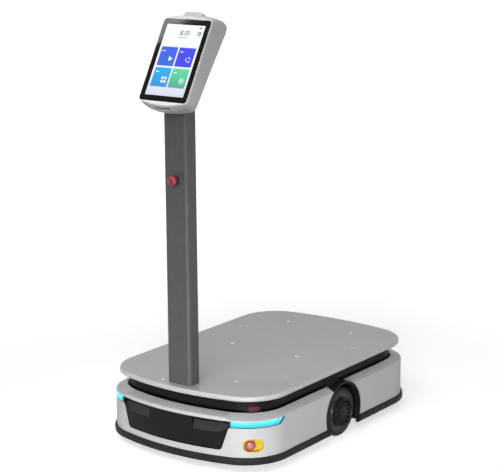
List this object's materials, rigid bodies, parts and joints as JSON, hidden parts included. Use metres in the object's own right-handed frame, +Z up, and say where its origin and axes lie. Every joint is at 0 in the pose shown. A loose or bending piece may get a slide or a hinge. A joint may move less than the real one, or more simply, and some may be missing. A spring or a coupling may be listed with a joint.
{
  "type": "autonomous mobile robot",
  "caption": "Low flat-bed mobile robot on two suspended drive wheels and swivel casters, with a rounded silver shell, a slim front mast and a tilted touch screen.",
  "frame": {"origin": "on the floor, under the middle of the base", "axes": "+Z up; the robot drives towards -Y, where the mast and the depth cameras are; +X is its left-hand side"},
  "size_m": [0.632, 0.9702, 1.3377],
  "materials": {
    "deck_silver": "fine satin silver paint",
    "shell_silver": "satin silver paint",
    "head_silver": "satin silver paint",
    "mast_silver": "silver anodised",
    "panel_black": "smooth dark",
    "bumper_rubber": "matt",
    "fender_black": "fine grain",
    "ring_black": "matt black",
    "frame_black": "matt black powder coat",
    "zinc_steel": "zinc plated",
    "bright_steel": "bright",
    "drive_tyre": "matt",
    "motor_case": "dark anodised",
    "hub_grey": "satin",
    "arm_cast": "cast, painted",
    "elastomer": "matt",
    "caster_tread": "grey, matt",
    "light_guide": "translucent cyan",
    "stop_red": "red",
    "stop_yellow": "yellow",
    "stop_grey": "dark grey",
    "screen_glass": "black cover glass",
    "screen_module": "display",
    "scanner_black": "matt",
    "scanner_window": "dark red window",
    "camera_alloy": "anodised",
    "battery_case": "moulded case",
    "electronics_alloy": "finned case",
    "charge_insulator": "matt black",
    "contact_brass": "plated contact",
    "button_grey": "satin"
  },
  "bodies": {
    "chassis": {"deck_plate": "deck_silver", "front_shell": "shell_silver", "rear_shell": "shell_silver", "head_bezel": "head_silver", "head_rear_shell": "head_silver", "mast_tube": "mast_silver", "front_panel": "panel_black", "rear_panel": "panel_black", "front_bumper": "bumper_rubber", "rear_bumper": "bumper_rubber", "fender_left": "fender_black", "fender_right": "fender_black", "upper_ring": "ring_black", "base_pan": "frame_black", "frame_rails": "frame_black", "frame_pillars": "frame_black", "mast_foot": "frame_black", "arm_brackets": "frame_black", "electronics_trays": "frame_black", "caster_mounts": "zinc_steel", "deck_ribs": "zinc_steel", "deck_screws": "bright_steel", "payload_inserts": "bright_steel", "suspension_spring_left": "elastomer", "suspension_spring_right": "elastomer", "light_strip_left": "light_guide", "light_strip_right": "light_guide", "base_stop_tray": "stop_yellow", "post_stop_collar": "stop_grey", "head_glass": "screen_glass", "head_display": "screen_module", "lidars": "scanner_black", "lidar_windows": "scanner_window", "camera_modules": "camera_alloy", "battery_pack": "battery_case", "main_computer": "electronics_alloy", "motor_driver": "electronics_alloy", "charge_block": "charge_insulator", "charge_contacts": "contact_brass"},
    "drive_arm_left": {"drive_arm_left": "arm_cast"},
    "drive_wheel_left": {"drive_tyre_left": "drive_tyre", "drive_motor_left": "motor_case", "hub_cap_left": "hub_grey"},
    "drive_arm_right": {"drive_arm_right": "arm_cast"},
    "drive_wheel_right": {"drive_tyre_right": "drive_tyre", "drive_motor_right": "motor_case", "hub_cap_right": "hub_grey"},
    "caster_fork_fl": {"caster_fork_fl": "zinc_steel"},
    "caster_wheel_fl": {"caster_wheel_fl": "caster_tread"},
    "caster_fork_fr": {"caster_fork_fr": "zinc_steel"},
    "caster_wheel_fr": {"caster_wheel_fr": "caster_tread"},
    "caster_fork_rl": {"caster_fork_rl": "zinc_steel"},
    "caster_wheel_rl": {"caster_wheel_rl": "caster_tread"},
    "caster_fork_rr": {"caster_fork_rr": "zinc_steel"},
    "caster_wheel_rr": {"caster_wheel_rr": "caster_tread"},
    "post_stop_plunger": {"post_stop_stem": "stop_grey"},
    "post_stop_knob": {"post_stop_head": "stop_red"},
    "base_stop_plunger": {"base_stop_stem": "stop_grey"},
    "base_stop_knob": {"base_stop_head": "stop_red"},
    "power_button": {"power_button": "button_grey"}
  },
  "joints": [
    {"name": "drive_arm_swing_left", "type": "hinge", "parent": "chassis", "child": "drive_arm_left", "pos_m": [0.22, -0.078, 0.104], "axis": [1, 0, 0], "range_deg": [-3, 3], "stiffness_Nm_per_rad": 1150, "deforming": ["suspension_spring_left"]},
    {"name": "drive_wheel_spin_left", "type": "hinge", "parent": "drive_arm_left", "child": "drive_wheel_left", "pos_m": [0.275, 0.01, 0.078], "axis": [1, 0, 0], "continuous": true},
    {"name": "drive_arm_swing_right", "type": "hinge", "parent": "chassis", "child": "drive_arm_right", "pos_m": [-0.22, -0.078, 0.104], "axis": [1, 0, 0], "range_deg": [-3, 3], "stiffness_Nm_per_rad": 1150, "deforming": ["suspension_spring_right"]},
    {"name": "drive_wheel_spin_right", "type": "hinge", "parent": "drive_arm_right", "child": "drive_wheel_right", "pos_m": [-0.275, 0.01, 0.078], "axis": [1, 0, 0], "continuous": true},
    {"name": "caster_swivel_fl", "type": "hinge", "parent": "chassis", "child": "caster_fork_fl", "pos_m": [0.18, -0.318, 0.1045], "axis": [0, 0, 1], "continuous": true},
    {"name": "caster_roll_fl", "type": "hinge", "parent": "caster_fork_fl", "child": "caster_wheel_fl", "pos_m": [0.18, -0.296, 0.0375], "axis": [1, 0, 0], "continuous": true},
    {"name": "caster_swivel_fr", "type": "hinge", "parent": "chassis", "child": "caster_fork_fr", "pos_m": [-0.18, -0.318, 0.1045], "axis": [0, 0, 1], "continuous": true},
    {"name": "caster_roll_fr", "type": "hinge", "parent": "caster_fork_fr", "child": "caster_wheel_fr", "pos_m": [-0.18, -0.296, 0.0375], "axis": [1, 0, 0], "continuous": true},
    {"name": "caster_swivel_rl", "type": "hinge", "parent": "chassis", "child": "caster_fork_rl", "pos_m": [0.18, 0.318, 0.1045], "axis": [0, 0, 1], "continuous": true},
    {"name": "caster_roll_rl", "type": "hinge", "parent": "caster_fork_rl", "child": "caster_wheel_rl", "pos_m": [0.18, 0.34, 0.0375], "axis": [1, 0, 0], "continuous": true},
    {"name": "caster_swivel_rr", "type": "hinge", "parent": "chassis", "child": "caster_fork_rr", "pos_m": [-0.18, 0.318, 0.1045], "axis": [0, 0, 1], "continuous": true},
    {"name": "caster_roll_rr", "type": "hinge", "parent": "caster_fork_rr", "child": "caster_wheel_rr", "pos_m": [-0.18, 0.34, 0.0375], "axis": [1, 0, 0], "continuous": true},
    {"name": "post_stop_push", "type": "slide", "parent": "chassis", "child": "post_stop_plunger", "axis": [0, 1, 0], "range_m": [0, 0.004], "stiffness_N_per_m": 2500},
    {"name": "post_stop_twist", "type": "hinge", "parent": "post_stop_plunger", "child": "post_stop_knob", "pos_m": [0, -0.44, 0.855], "axis": [0, 1, 0], "range_deg": [0, 45], "stiffness_Nm_per_rad": 0.08},
    {"name": "base_stop_push", "type": "slide", "parent": "chassis", "child": "base_stop_plunger", "axis": [-0.7034, 0.7108, 0], "range_m": [0, 0.004], "stiffness_N_per_m": 2500},
    {"name": "base_stop_twist", "type": "hinge", "parent": "base_stop_plunger", "child": "base_stop_knob", "pos_m": [0.25871, -0.41736, 0.0835], "axis": [-0.7034, 0.7108, 0], "range_deg": [0, 45], "stiffness_Nm_per_rad": 0.08},
    {"name": "power_button_push", "type": "slide", "parent": "chassis", "child": "power_button", "axis": [0, -1, 0], "range_m": [0, 0.002], "stiffness_N_per_m": 2500}
  ]
}
